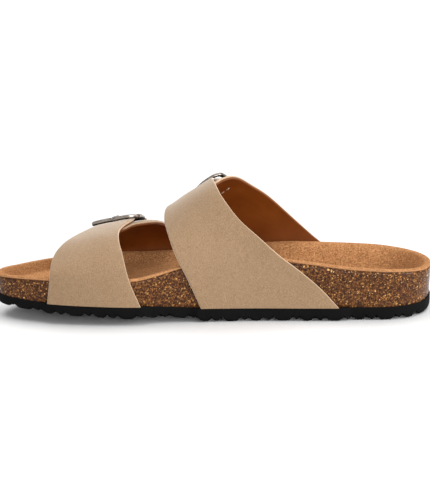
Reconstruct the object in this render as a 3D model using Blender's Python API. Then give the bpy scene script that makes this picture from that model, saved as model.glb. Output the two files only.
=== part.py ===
"""Two-strap footbed sandal for the right foot.

Sizes are in millimetres and turn into metres as the meshes are made. A station is a distance from
the heel end along the sole. The toe points to -X, the medial side lies at -Y and +Z is up. Girth runs
over the foot from -1 at the medial edge of the sole through 0 at the ridge to +1 at the lateral edge.
"""

import math

import bmesh
import bpy
import numpy as np

MM = 0.001

# Sole
LENGTH = 262.0
SIDE_SHIFT = -1.25
GAP = 0.3
HEEL_ARC = 35.0
HEEL_HALF = 34.5
HEEL_POWER = 2.1
TOE_ARC_START = 190.0
TOE_TIP_SIDE = -16.0
TOE_MEDIAL_POWER = 2.2
TOE_LATERAL_POWER = 1.45
SPINE_HEEL = 34.0
SPINE_TOE = 222.0
SEAM_INSET = 0.8
OUTSOLE_DRAFT = 1.2
END_TRIM = 0.15
DRAFT_LEAST = 0.3
HEEL_STATIONS = (0.8, 2.2, 4.4)
TOE_SHARES = (0.35, 0.62, 0.82, 0.94)

# Tread
RIB_WIDE = 7.8
RIB_NARROW = 3.0
GROOVE = 2.2
GROOVE_WALL = 0.5
GROOVE_DEPTH = 2.3
FIRST_GROOVE = 6.8
ZIGZAG = 1.5
ZIGZAG_FADE = 16.0
ZIGZAG_START = 0.4
TREAD_COLUMNS = 8
FLAT_SHARE = 0.25
SIDE_STEP = 1.1

# Footbed
LINING_THICK = 1.2
RIM_ROUND = 0.7
RIM_CREST = 1.0
RIM_INNER = 2.4
RIM_DIP = 0.1
CORK_BELOW_RIM = RIM_ROUND + LINING_THICK + GAP
LOOP_STATIONS = 36
WALL_STEPS = (0.2, 0.42, 0.68, 1.0)
FLOOR_STEP = 0.5

# Straps
STRAP_THICK = 2.4
STRAP_CLEAR = 0.45
RIM_CLEAR = 1.0
MEDIAL_ROUND = 2.3
STRAP_COLUMNS = 6
SECTION_STEPS = 48
FLANK_ROWS = 12
TONGUE_ROWS = 15
LATERAL_ROWS = 15
TONGUE_START = -30.0
LATERAL_ROUND_END = 0.05
TIP_TURNS = (0.35, 0.6, 0.8, 0.93, 1.0)
TIP_POWER = 0.8
TIP_FLAT = 0.3

# Buckles
RING_ACROSS = 27.0
RING_ALONG = 19.0
RING_CORNER = 4.0
BAR_WIDE = 2.8
BAR_THICK = 1.6
TONGUE_REST = 2.7
TONGUE_HUMP = 4.65
TAIL_THICK = 1.7
RING_GAP = 0.4
RING_SIDES = 8
CORNER_STEPS = 3
PRONG_THICK = 1.4
PRONG_SIDES = 6
HOLE_LONG = 4.6
HOLE_WIDE = 2.6
HOLE_PLACE = 5.6
HOLE_REACH = 14.0
HOLE_SIDES = 10
TAIL_LENGTH = 26.0
TAIL_ROUND = 9.0

OUTLINE = (
    ("station", "medial", "lateral"),
    (35, -34.5, 34.5),
    (70, -34.5, 36.5),
    (100, -34.3, 39.5),
    (130, -36.0, 43.5),
    (160, -41.0, 47.0),
    (190, -45.0, 47.5),
)
# Height of the tread over the floor, along the middle and along both edges
TREAD = (
    ("station", "middle", "medial", "lateral"),
    (0, 1.0, 1.0, 1.0),
    (4, 0.3, 0.3, 0.3),
    (9, 0.0, 0.0, 0.0),
    (134, 0.0, 0.0, 0.0),
    (148, 0.0, 2.0, 0.0),
    (160, 0.0, 3.2, 0.2),
    (175, 1.0, 3.6, 1.4),
    (190, 2.5, 3.9, 2.8),
    (200, 3.5, 4.7, 3.8),
    (230, 5.6, 6.0, 5.8),
    (262, 7.6, 7.6, 7.6),
)
# Height of the seam between the outsole and the footbed
SEAM = (
    ("station", "height"),
    (0, 9.0),
    (4, 8.3),
    (9, 8.0),
    (70, 7.9),
    (140, 8.4),
    (150, 9.2),
    (175, 11.0),
    (200, 11.8),
    (230, 12.6),
    (262, 13.8),
)
RIM = (
    ("station", "medial", "lateral"),
    (0, 28.5, 28.5),
    (19, 30.3, 29.2),
    (35, 31.3, 30.3),
    (49, 32.2, 30.9),
    (80, 36.2, 31.3),
    (98, 37.8, 30.2),
    (130, 37.8, 26.5),
    (152, 34.3, 23.6),
    (165, 30.6, 22.8),
    (178, 27.8, 22.1),
    (200, 27.0, 22.2),
    (235, 27.6, 23.6),
    (252, 27.0, 24.6),
    (262, 26.0, 26.0),
)
INNER_WALL = (
    ("station", "medial", "lateral"),
    (0, 20, 20),
    (60, 25, 20),
    (110, 31, 18),
    (150, 24, 14),
    (180, 13, 11),
    (220, 10, 10),
    (262, 10, 10),
)
BED = (
    ("station", "height"),
    (0, 16.0),
    (35, 15.5),
    (60, 17.0),
    (95, 20.5),
    (125, 21.5),
    (150, 19.5),
    (175, 17.0),
    (192, 16.5),
    (214, 17.7),
    (225, 17.7),
    (240, 18.6),
    (262, 19.5),
)
FRONT_RIDGE = (
    ("station", "height", "side", "lateral_round"),
    (145, 42.0, -5, 2.1),
    (158, 46.4, -6, 2.1),
    (168, 49.2, -7, 2.1),
    (178, 50.1, -7, 1.8),
    (193, 48.0, -8, 1.45),
    (207, 44.4, -8, 1.5),
    (219, 40.9, -8, 1.5),
    (234, 35.8, -8, 1.5),
)
REAR_RIDGE = (
    ("station", "height", "side", "lateral_round"),
    (45, 87.0, -4, 1.95),
    (80, 85.5, -5, 1.95),
    (98, 84.0, -5, 1.95),
    (111, 82.0, -5, 1.9),
    (120, 79.8, -5, 1.85),
    (132, 74.7, -5, 1.75),
    (140, 69.7, -5, 1.55),
    (146, 66.0, -5, 1.5),
    (155, 59.7, -6, 1.5),
    (164, 55.0, -6, 1.5),
)
FRONT_MEDIAL = (
    ("girth", "toe_edge", "heel_edge"),
    (-1.0, 230.0, 175.2),
    (-0.78, 228.7, 181.1),
    (-0.66, 228.0, 183.4),
    (-0.52, 227.0, 185.6),
    (-0.4, 225.0, 187.2),
    (-0.3, 221.8, 187.6),
    (-0.21, 218.4, 187.0),
    (-0.13, 214.8, 185.2),
    (0.0, 206.8, 181.2),
    (0.06, 203.4, 179.8),
    (0.11, 202.6, 179.6),
    (0.22, 200.2, 177.4),
    (0.6, 192.4, 169.6),
)
FRONT_LATERAL = (
    ("girth", "toe_edge", "heel_edge"),
    (-0.1, 206.0, 186.0),
    (0.03, 207.5, 180.7),
    (0.12, 208.5, 174.4),
    (0.2, 209.0, 170.0),
    (0.3, 209.5, 166.0),
    (0.4, 210.5, 162.6),
    (0.6, 213.0, 157.5),
    (0.8, 215.5, 153.8),
    (1.0, 218.0, 150.0),
)
REAR_MEDIAL = (
    ("girth", "toe_edge", "heel_edge"),
    (-1.0, 139.7, 57.2),
    (-0.87, 144.2, 68.3),
    (-0.75, 148.4, 80.9),
    (-0.65, 151.8, 92.7),
    (-0.53, 155.6, 104.6),
    (-0.41, 158.0, 116.3),
    (-0.32, 159.3, 122.3),
    (-0.21, 160.1, 127.0),
    (-0.08, 159.4, 129.3),
    (0.03, 157.6, 130.2),
    (0.13, 152.3, 129.8),
    (0.3, 144.4, 123.6),
    (0.5, 134.6, 113.8),
)
REAR_LATERAL = (
    ("girth", "toe_edge", "heel_edge"),
    (-0.02, 157.0, 130.2),
    (0.06, 156.0, 126.5),
    (0.15, 154.5, 120.0),
    (0.24, 152.0, 115.2),
    (0.34, 148.8, 109.2),
    (0.47, 144.2, 97.3),
    (0.6, 139.5, 84.8),
    (0.72, 134.5, 71.7),
    (0.79, 132.0, 63.5),
    (1.0, 125.0, 50.0),
)
# Height of the tongue's inner face over the last, by distance from the middle of its buckle
TONGUE_LIFT = (
    ("along", "lift"),
    (-70.0, 0.0),
    (-37.0, TONGUE_REST),
    (-8.5, TONGUE_REST),
    (7.5, TONGUE_HUMP),
    (11.5, TONGUE_HUMP),
    (18.0, TONGUE_REST),
    (40.0, TONGUE_REST),
)
# Thickness of the tongue, thinned towards its tail, by distance from the middle of its buckle
TONGUE_THICK = (
    ("along", "thick"),
    (-7.0, STRAP_THICK),
    (5.0, TAIL_THICK),
    (40.0, TAIL_THICK),
)
# Middle line of the prong: distance from the middle of the buckle and height over the last
PRONG_PATH = (
    ("along", "height"),
    (6.9, 3.5),
    (6.6, 4.8),
    (5.4, 6.8),
    (3.4, 7.6),
    (0.0, 7.4),
    (-5.0, 7.4),
    (-8.4, 7.95),
    (-10.4, 8.05),
)
BUCKLES = (
    ("front", 0.214, 188.9, 14.0, 0.6, FRONT_RIDGE),
    ("rear", 0.308, 133.6, 25.0, 0.0, REAR_RIDGE),
)
FLARES = (
    ("medial", 56.0, 140.0),
    ("medial", 175.0, 230.0),
    ("lateral", 50.0, 125.0),
    ("lateral", 150.0, 218.0),
)
FLARE = 2.5
FLARE_RAMP = 7.0

MATERIALS = {
    "foam": ((0.014, 0.013, 0.013), 0.75, 0.0),
    "cork": ((0.2, 0.1, 0.05), 0.45, 0.0),
    "suede": ((0.45, 0.24, 0.12), 0.95, 0.0),
    "nubuck": ((0.52, 0.37, 0.24), 0.85, 0.0),
    "metal": ((0.16, 0.13, 0.11), 0.35, 1.0),
}


def column(table, name):
    """One named column of a table."""
    return np.array([row[table[0].index(name)] for row in table[1:]], float)


def value(table, name, at, flat=True):
    """A named column at a place along the first one, as a curve that never overshoots its rows."""
    places = column(table, table[0][0])
    heights = column(table, name)
    step = np.diff(places)
    rise = np.diff(heights) / step
    slope = np.zeros(len(places))
    for k in range(1, len(rise)):
        if rise[k - 1] * rise[k] > 0:
            first = 2 * step[k] + step[k - 1]
            second = step[k] + 2 * step[k - 1]
            slope[k] = (first + second) / (first / rise[k - 1] + second / rise[k])
    if not flat:
        slope[0] = rise[0]
        slope[-1] = rise[-1]
    at = np.clip(np.asarray(at, float), places[0], places[-1])
    k = np.clip(np.searchsorted(places, at) - 1, 0, len(step) - 1)
    t = (at - places[k]) / step[k]
    return (
        heights[k] * (1 + 2 * t) * (1 - t) ** 2
        + heights[k + 1] * t * t * (3 - 2 * t)
        + step[k] * (slope[k] * t * (1 - t) ** 2 - slope[k + 1] * t * t * (1 - t))
    )


def ease(t):
    """Smooth step from 0 to 1."""
    t = np.clip(t, 0.0, 1.0)
    return t * t * (3 - 2 * t)


def arc(u, power):
    """Height of a unit superellipse at u from its middle."""
    return (1 - np.clip(u, 0, 1) ** power) ** (1 / power)


def edge(side, station):
    """Sideways place of the footbed's rim at a station."""
    s = np.asarray(station, float)
    middle = value(OUTLINE, side, np.clip(s, HEEL_ARC, TOE_ARC_START))
    sign = -1.0 if side == "medial" else 1.0
    heel = sign * HEEL_HALF * arc((HEEL_ARC - s) / HEEL_ARC, HEEL_POWER)
    power = TOE_MEDIAL_POWER if side == "medial" else TOE_LATERAL_POWER
    toe_arc = arc((s - TOE_ARC_START) / (LENGTH - TOE_ARC_START), power)
    widest = value(OUTLINE, side, TOE_ARC_START)
    toe = TOE_TIP_SIDE + (widest - TOE_TIP_SIDE) * toe_arc
    return np.where(s < HEEL_ARC, heel, np.where(s > TOE_ARC_START, toe, middle))


def seam(station):
    """Height of the outsole's top face."""
    return value(SEAM, "height", station)


def flare(side, station):
    """How far the outsole stands out under the straps."""
    out = np.zeros_like(np.asarray(station, float))
    for flared, low, high in FLARES:
        if flared == side:
            rise = ease((station - low) / FLARE_RAMP + 1)
            fall = ease((high - station) / FLARE_RAMP + 1)
            out = np.maximum(out, FLARE * rise * fall)
    return out


def rim_loop():
    """Stations, sides and outline of the rim, once round, with a spine point for each."""
    turn = np.arange(LOOP_STATIONS + 1) * math.pi / LOOP_STATIONS
    stations = LENGTH * (1 - np.cos(turn)) / 2
    medial = [("medial", s) for s in stations]
    lateral = [("lateral", s) for s in stations[-2:0:-1]]
    loop = medial + lateral
    outline = np.array([(s, float(edge(side, s))) for side, s in loop])
    held = np.clip(outline[:, 0], SPINE_HEEL, SPINE_TOE)
    spine = np.stack([held, (edge("medial", held) + edge("lateral", held)) / 2], axis=1)
    return loop, outline, spine


def bed_rings():
    """Rings of the lining's top face from the rim inward to the spine."""
    loop, outline, spine = rim_loop()
    reach = np.linalg.norm(spine - outline, axis=1)
    inward = (spine - outline) / reach[:, None]
    rim = np.array([float(value(RIM, side, s)) for side, s in loop])
    wall = np.array([float(value(INNER_WALL, side, s)) for side, s in loop])
    bed = value(BED, "height", outline[:, 0])
    middle = value(BED, "height", spine[:, 0])
    rings = []
    for distance, drop in ((0.0, RIM_ROUND), (RIM_CREST, 0.0), (RIM_INNER, RIM_DIP)):
        rings.append(np.column_stack([outline + inward * distance, rim - drop]))
    for share in WALL_STEPS:
        distance = RIM_INNER + (wall - RIM_INNER) * share
        place = outline + inward * distance[:, None]
        floor = bed + (middle - bed) * distance / reach
        height = floor + (rim - RIM_DIP - floor) * (1 - ease(share))
        rings.append(np.column_stack([place, height]))
    distance = wall + (reach - wall) * FLOOR_STEP
    floor = bed + (middle - bed) * distance / reach
    rings.append(np.column_stack([outline + inward * distance[:, None], floor]))
    rings.append(np.column_stack([spine, middle]))
    return rings


def placed(point):
    """Station, side and height to scene metres."""
    return ((LENGTH / 2 - point[0]) * MM, (point[1] + SIDE_SHIFT) * MM, point[2] * MM)


def mesh_object(name, points, faces, material):
    """A named object from millimetre points, with one material."""
    mesh = bpy.data.meshes.new(name)
    mesh.from_pydata([placed(p) for p in points], [], faces)
    shape = bmesh.new()
    shape.from_mesh(mesh)
    bmesh.ops.recalc_face_normals(shape, faces=shape.faces)
    shape.to_mesh(mesh)
    shape.free()
    mesh.materials.append(bpy.data.materials[material])
    obj = bpy.data.objects.new(name, mesh)
    bpy.context.scene.collection.objects.link(obj)
    return obj


class Shell:
    """Points and faces of a closed body, with points at one place shared."""

    def __init__(self):
        self.points = []
        self.faces = []
        self.known = {}

    def add(self, point):
        key = tuple(round(float(c), 4) for c in point)
        if key not in self.known:
            self.known[key] = len(self.points)
            self.points.append(tuple(float(c) for c in point))
        return self.known[key]

    def face(self, corners, flip=False):
        kept = []
        for corner in corners:
            if corner not in kept:
                kept.append(corner)
        if len(kept) > 2:
            self.faces.append(kept[:1] + kept[:0:-1] if flip else kept)

    def strip(self, first, second, closed=True, flip=False):
        count = len(first)
        for k in range(count if closed else count - 1):
            n = (k + 1) % count
            self.face((first[k], first[n], second[n], second[k]), flip)


def build_lining():
    """Suede cover of the footbed."""
    shell = Shell()
    rings = bed_rings()
    top = [[shell.add(p) for p in ring] for ring in rings]
    under = [[shell.add(p - (0, 0, LINING_THICK)) for p in ring] for ring in rings]
    for k in range(len(rings) - 1):
        shell.strip(top[k], top[k + 1], flip=True)
        shell.strip(under[k], under[k + 1])
    shell.strip(top[0], under[0])
    return mesh_object("footbed_lining", shell.points, shell.faces, "suede")


def build_footbed():
    """Cork footbed: wall, hollowed top and flat underside."""
    shell = Shell()
    loop, outline, spine = rim_loop()
    inward = (spine - outline) / np.linalg.norm(spine - outline, axis=1)[:, None]
    rings = [ring - (0, 0, LINING_THICK + GAP) for ring in bed_rings()]
    base = seam(outline[:, 0]) + GAP
    top = [[shell.add(p) for p in ring] for ring in rings]
    foot = np.column_stack([outline + inward * SEAM_INSET, base])
    under = np.column_stack([spine, seam(spine[:, 0]) + GAP])
    foot = [shell.add(p) for p in foot]
    under = [shell.add(p) for p in under]
    for k in range(len(top) - 1):
        shell.strip(top[k], top[k + 1], flip=True)
    shell.strip(top[0], foot)
    shell.strip(foot, under)
    return mesh_object("cork_footbed", shell.points, shell.faces, "cork")


def tread_stations():
    """Stations of the outsole, each with the depth of the groove there."""
    stations = [(END_TRIM, 0.0)]
    stations += [(s, 0.0) for s in HEEL_STATIONS]
    place = FIRST_GROOVE
    wide = False
    while place < LENGTH - RIB_WIDE:
        stations.append((place, 0.0))
        stations.append((place + GROOVE_WALL, GROOVE_DEPTH))
        stations.append((place + GROOVE - GROOVE_WALL, GROOVE_DEPTH))
        stations.append((place + GROOVE, 0.0))
        place += GROOVE + (RIB_WIDE if wide else RIB_NARROW)
        wide = not wide
    last = stations[-1][0]
    stations += [(last + (LENGTH - last) * t, 0.0) for t in TOE_SHARES]
    stations.append((LENGTH - END_TRIM, 0.0))
    return stations


def build_outsole():
    """Foam outsole with zigzag cross grooves, flared under the straps."""
    shell = Shell()
    sections = []
    for s, groove in tread_stations():
        low, high = float(edge("medial", s)), float(edge("lateral", s))
        inset = min(SEAM_INSET, (high - low) / 4)
        low += inset - float(flare("medial", s))
        high += float(flare("lateral", s)) - inset
        middle = (low + high) / 2
        draft = max(DRAFT_LEAST, 1 - 2 * OUTSOLE_DRAFT / (high - low))
        base = OUTSOLE_DRAFT + s * (LENGTH - 2 * OUTSOLE_DRAFT) / LENGTH
        fade = float(ease(min(s, LENGTH - s) / ZIGZAG_FADE - ZIGZAG_START))
        ground = {name: float(value(TREAD, name, s)) for name in ("middle", "medial", "lateral")}
        points = []
        for c in range(TREAD_COLUMNS + 1):
            share = c / TREAD_COLUMNS
            side = middle + (low + (high - low) * share - middle) * draft
            shift = ZIGZAG * fade * (1 if c % 2 else -1)
            rise = ground["medial" if share < 0.5 else "lateral"] - ground["middle"]
            reach = max(0.0, abs(2 * share - 1) - FLAT_SHARE) / (1 - FLAT_SHARE)
            height = ground["middle"] + rise * reach ** 2
            points.append((base + shift, side, height + groove))
        step = GROOVE_DEPTH + SIDE_STEP
        points.append((s, high, ground["lateral"] + step))
        points.append((s, high, float(seam(s))))
        points.append((s, low, float(seam(s))))
        points.append((s, low, ground["medial"] + step))
        sections.append([shell.add(p) for p in points])
    for first, second in zip(sections, sections[1:]):
        shell.strip(first, second)
    shell.face(sections[0], flip=True)
    shell.face(sections[-1])
    return mesh_object("outsole", shell.points, shell.faces, "foam")


def section(ridge, station):
    """Half sections of the last under a strap: medial and lateral, each from the sole to the ridge."""
    halves = []
    top = float(value(ridge, "height", station, flat=False))
    crown = float(value(ridge, "side", station))
    turn = np.linspace(0, math.pi / 2, SECTION_STEPS)
    lateral_round = float(value(ridge, "lateral_round", station))
    for side, power in (("medial", MEDIAL_ROUND), ("lateral", lateral_round)):
        sign = -1.0 if side == "medial" else 1.0
        wall = float(edge(side, station)) + sign * STRAP_CLEAR
        rim = float(value(RIM, side, station))
        start = rim + RIM_CLEAR
        y = crown + (wall - crown) * np.cos(turn) ** (2 / power)
        z = start + (top - start) * np.sin(turn) ** (2 / power)
        y = np.concatenate([[wall - sign * SEAM_INSET, wall], y])
        z = np.concatenate([[float(seam(station)) + GAP, rim - CORK_BELOW_RIM], z])
        halves.append(np.column_stack([y, z]))
    return halves


def on_last(ridge, station, girth):
    """A point of the last's skin."""
    half = section(ridge, station)[0 if girth < 0 else 1]
    run = np.concatenate([[0], np.cumsum(np.linalg.norm(np.diff(half, axis=0), axis=1))])
    at = (1 - abs(girth)) * run[-1]
    return np.array([station, np.interp(at, run, half[:, 0]), np.interp(at, run, half[:, 1])])


def skin(ridge, station, girth, height):
    """A point at a height over the last's skin, with the skin's two directions and its normal."""
    point = on_last(ridge, station, girth)
    along = on_last(ridge, station, girth + 0.01) - on_last(ridge, station, girth - 0.01)
    across = on_last(ridge, station + 1.0, girth) - on_last(ridge, station - 1.0, girth)
    normal = np.cross(across, along)
    normal /= np.linalg.norm(normal)
    return point + normal * height, along / 0.02, across / 2.0, normal


def strap_rows(table, girths, tip):
    """Girths and edge stations of a strap from its sole end to its rounded free end."""
    turns = np.array(TIP_TURNS) * math.pi / 2
    spread = [1.0] * len(girths) + [max(TIP_FLAT, math.cos(t) ** TIP_POWER) for t in turns]
    girths = np.concatenate([girths, girths[-1] + tip * np.sin(turns)])
    toe = value(table, "toe_edge", girths, flat=False)
    heel = value(table, "heel_edge", girths, flat=False)
    half = (toe - heel) / 2 * spread
    middle = (toe + heel) / 2
    return list(zip(girths, middle + half, middle - half))


def build_strap(name, ridge, rows, raised, thick):
    """Thin strap lying on the last between its two edges."""
    shell = Shell()
    inner = []
    outer = []
    for girth, toe, heel in rows:
        stations = np.linspace(toe, heel, STRAP_COLUMNS + 1)
        low = [raised(girth, s) for s in stations]
        high = [raised(girth, s) + thick(girth, s) for s in stations]
        for grid, heights in ((inner, low), (outer, high)):
            points = [skin(ridge, s, girth, h)[0] for s, h in zip(stations, heights)]
            grid.append([shell.add(p) for p in points])
    flip = rows[0][0] > rows[-1][0]
    for k in range(len(rows) - 1):
        shell.strip(outer[k], outer[k + 1], closed=False, flip=flip)
        shell.strip(inner[k], inner[k + 1], closed=False, flip=not flip)
    rim_in = edge_loop(inner)
    rim_out = edge_loop(outer)
    shell.strip(rim_in, rim_out, flip=flip)
    return mesh_object(name, shell.points, shell.faces, "nubuck")


def edge_loop(grid):
    """Border of a grid of rows, once round."""
    return (
        grid[0]
        + [row[-1] for row in grid[1:-1]]
        + grid[-1][::-1]
        + [row[0] for row in grid[-2:0:-1]]
    )


class Seat:
    """Place of a buckle on the last, with millimetre steps along and across the strap."""

    def __init__(self, name, girth, station, slant, lift, ridge):
        self.name = name
        self.lift = lift
        self.girth = girth
        self.station = station
        self.cos = math.cos(math.radians(slant))
        self.sin = math.sin(math.radians(slant))
        self.ridge = ridge
        along, across = skin(ridge, station, girth, 0.0)[1:3]
        self.per_along = np.linalg.norm(along)
        self.per_across = np.linalg.norm(across)

    def girth_at(self, along):
        return self.girth + along / self.per_along

    def point(self, along, across, height):
        station = self.station + (across * self.cos - along * self.sin) / self.per_across
        girth = self.girth_at(along * self.cos + across * self.sin)
        return skin(self.ridge, station, girth, height)[0]

    def along(self, girth, station):
        run = (girth - self.girth) * self.per_along
        across = (station - self.station) * self.per_across
        return run * self.cos - across * self.sin

    def raised(self, girth, station):
        return float(value(TONGUE_LIFT, "lift", self.along(girth, station)))

    def thick(self, girth, station):
        return float(value(TONGUE_THICK, "thick", self.along(girth, station)))

    def ring_height(self, along):
        """Height of the ring's middle line over the last: high on the medial bar, low on the lateral one."""
        high = TONGUE_REST + STRAP_THICK + RING_GAP + self.lift + BAR_THICK / 2
        low = STRAP_THICK + GAP + BAR_THICK / 2
        return high + (low - high) * (along / RING_ALONG + 0.5)


def tube(name, centres, sideways, upward, wide, thick, sides, closed):
    """Rounded bar swept along a row of points."""
    shell = Shell()
    rings = []
    for centre, side, up in zip(centres, sideways, upward):
        ring = []
        for k in range(sides):
            turn = 2 * math.pi * (k + 0.5) / sides
            offset = side * wide / 2 * math.cos(turn) + up * thick / 2 * math.sin(turn)
            ring.append(shell.add(centre + offset))
        rings.append(ring)
    for first, second in zip(rings, rings[1:] + rings[:1] if closed else rings[1:]):
        shell.strip(first, second)
    if not closed:
        shell.face(rings[0], flip=True)
        shell.face(rings[-1])
    return mesh_object(name, shell.points, shell.faces, "metal")


def ring_path():
    """Middle line of a buckle ring: along and across the strap, with the outward direction."""
    path = []
    reach_along = RING_ALONG / 2 - RING_CORNER
    reach_across = RING_ACROSS / 2 - RING_CORNER
    corners = ((1, 1, 0), (-1, 1, 90), (-1, -1, 180), (1, -1, 270))
    for sign_along, sign_across, first in corners:
        for k in range(CORNER_STEPS + 1):
            turn = math.radians(first + 90 * k / CORNER_STEPS)
            out = (math.cos(turn), math.sin(turn))
            along = sign_along * reach_along + RING_CORNER * out[0]
            across = sign_across * reach_across + RING_CORNER * out[1]
            path.append((along, across, out))
        if sign_along == sign_across:
            path.append((0.0, sign_across * RING_ACROSS / 2, (0.0, float(sign_across))))
        else:
            path.append((sign_along * RING_ALONG / 2, 0.0, (float(sign_along), 0.0)))
    return path


def build_ring(seat):
    """Buckle ring that lies over the tongue on one bar and under it on the other."""
    centres = []
    sideways = []
    upward = []
    for along, across, out in ring_path():
        height = seat.ring_height(along)
        centre = seat.point(along, across, height)
        outer = seat.point(along + out[0], across + out[1], seat.ring_height(along + out[0]))
        above = seat.point(along, across, height + 1.0)
        side = (outer - centre) / np.linalg.norm(outer - centre)
        centres.append(centre)
        sideways.append(side)
        upward.append(above - centre)
    name = seat.name + "_buckle_frame"
    return tube(name, centres, sideways, upward, BAR_WIDE, BAR_THICK, RING_SIDES, True)


def build_prong(seat):
    """Prong from the lateral bar up through the tongue and on to the medial bar."""
    places = column(PRONG_PATH, "along")
    heights = column(PRONG_PATH, "height") + seat.lift * np.maximum(0.0, -places) / (RING_ALONG / 2)
    centres = [seat.point(a, 0.0, h) for a, h in zip(places, heights)]
    sideways = []
    upward = []
    for k in range(len(centres)):
        ahead = centres[min(k + 1, len(centres) - 1)] - centres[max(k - 1, 0)]
        side = seat.point(places[k], 1.0, heights[k]) - centres[k]
        up = np.cross(ahead, side)
        sideways.append(side / np.linalg.norm(side))
        upward.append(up / np.linalg.norm(up))
    name = seat.name + "_buckle_prong"
    return tube(name, centres, sideways, upward, PRONG_THICK, PRONG_THICK, PRONG_SIDES, False)


def cut_hole(strap, seat):
    """Hole of the tongue that the prong passes through."""
    centres = [seat.point(HOLE_PLACE, 0.0, h) for h in (0.0, HOLE_REACH)]
    side = seat.point(HOLE_PLACE, 1.0, 0.0) - centres[0]
    along = seat.point(HOLE_PLACE + 1.0, 0.0, 0.0) - centres[0]
    name = seat.name + "_hole_cutter"
    cutter = tube(name, centres, [along] * 2, [side] * 2, HOLE_LONG, HOLE_WIDE, HOLE_SIDES, False)
    cutter.hide_render = True
    cutter.display_type = "WIRE"
    hole = strap.modifiers.new("prong_hole", "BOOLEAN")
    hole.operation = "DIFFERENCE"
    hole.solver = "EXACT"
    hole.object = cutter


def build_materials():
    """One principled material per material slot."""
    for name, (colour, roughness, metallic) in MATERIALS.items():
        material = bpy.data.materials.new(name)
        material.use_nodes = True
        shader = material.node_tree.nodes["Principled BSDF"]
        shader.inputs["Base Color"].default_value = (*colour, 1.0)
        shader.inputs["Roughness"].default_value = roughness
        shader.inputs["Metallic"].default_value = metallic


def flat_lift(girth, station):
    """A strap that lies on the last has no lift."""
    return 0.0


def full_thick(girth, station):
    """A strap of one thickness."""
    return STRAP_THICK


def build_upper():
    """Both straps with their buckles."""
    tables = {"front": (FRONT_MEDIAL, FRONT_LATERAL), "rear": (REAR_MEDIAL, REAR_LATERAL)}
    for name, girth, station, slant, lift, ridge in BUCKLES:
        seat = Seat(name, girth, station, slant, lift, ridge)
        medial, lateral = tables[name]
        start = seat.girth_at(TONGUE_START)
        tail = seat.girth_at(TAIL_LENGTH - TAIL_ROUND)
        tip = seat.girth_at(TAIL_LENGTH) - tail
        girths = np.concatenate([
            np.linspace(-1.0, start, FLANK_ROWS)[:-1],
            np.linspace(start, tail, TONGUE_ROWS),
        ])
        rows = strap_rows(medial, girths, tip)
        tongue = build_strap(name + "_strap_medial", ridge, rows, seat.raised, seat.thick)
        end = float(column(lateral, "girth")[0])
        girths = np.linspace(1.0, end + LATERAL_ROUND_END, LATERAL_ROWS)
        rows = strap_rows(lateral, girths, -LATERAL_ROUND_END)
        build_strap(name + "_strap_lateral", ridge, rows, flat_lift, full_thick)
        build_ring(seat)
        build_prong(seat)
        cut_hole(tongue, seat)


def main():
    for obj in list(bpy.data.objects):
        bpy.data.objects.remove(obj, do_unlink=True)
    build_materials()
    build_outsole()
    build_footbed()
    build_lining()
    build_upper()


if __name__ == "__main__":
    main()
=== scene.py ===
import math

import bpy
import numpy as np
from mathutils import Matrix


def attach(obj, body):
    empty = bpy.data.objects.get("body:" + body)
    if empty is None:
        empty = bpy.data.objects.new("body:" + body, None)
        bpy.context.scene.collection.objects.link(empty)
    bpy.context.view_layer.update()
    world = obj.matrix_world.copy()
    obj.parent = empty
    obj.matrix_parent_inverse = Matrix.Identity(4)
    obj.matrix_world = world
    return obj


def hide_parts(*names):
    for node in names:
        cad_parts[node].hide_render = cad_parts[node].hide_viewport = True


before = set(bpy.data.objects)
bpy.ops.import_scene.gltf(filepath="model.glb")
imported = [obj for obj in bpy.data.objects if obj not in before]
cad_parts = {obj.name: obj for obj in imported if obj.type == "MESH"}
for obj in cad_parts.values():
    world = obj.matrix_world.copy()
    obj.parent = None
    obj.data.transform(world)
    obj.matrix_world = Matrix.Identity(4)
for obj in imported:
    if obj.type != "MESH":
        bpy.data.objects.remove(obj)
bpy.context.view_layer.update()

# Two-strap footbed sandal for the right foot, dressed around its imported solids.
# Sizes are in millimetres and turn into metres as the meshes are made. A station is a distance from the
# heel end along the sole, and girth runs over the foot from -1 at the medial edge of the sole through 0
# at the ridge to +1 at the lateral edge. The toe points to -X and the medial side lies at -Y.

MM = 0.001
SIGN = {"medial": -1.0, "lateral": 1.0}

# Sole
LENGTH = 262.0
SIDE_SHIFT = -1.25
GAP = 0.3
HEEL_ARC = 35.0
HEEL_HALF = 34.5
HEEL_POWER = 2.1
TOE_ARC_START = 190.0
TOE_TIP_SIDE = -16.0
TOE_MEDIAL_POWER = 2.2
TOE_LATERAL_POWER = 1.45
SPINE_HEEL = 34.0
SPINE_TOE = 222.0
SEAM_INSET = 0.8
SEAM_FIT = 0.03
OUTSOLE_DRAFT = 1.2
END_TRIM = 0.15
OUTSOLE_STATIONS = 620
STATION_CROWD = 0.04
DRAFT_LEAST = 0.3
WALL_POINTS = 7
WALL_RISES = (0.35, 0.7, 0.94, 1.0)
SEAM_TUCK = 0.25

# Tread
FIRST_GROOVE = 6.8
RIB_WIDE = 7.8
RIB_NARROW = 3.0
GROOVE = 2.2
GROOVE_WALL = 0.3
GROOVE_DEPTH = 2.3
LOBE = 3.0
LOBE_START = 0.82
LOBE_POWER = 1.8
ZIGZAG = 1.5
ZIGZAG_FADE = 16.0
ZIGZAG_START = 0.4
ZIGZAG_WAVES = 4
FIRST_NOTCH = 10.0
MEDIAL_LOBES = 31
MEDIAL_LOBE_WIDTHS = (9.0, 4.5, 11.5, 6.0)
NOTCH_DEPTH = 3.2
NOTCH_REACH = 3.8
NOTCH_START = 0.72
FLAT_SHARE = 0.25
SIDE_STEP = 1.1
TREAD_COLUMNS = 64

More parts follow.
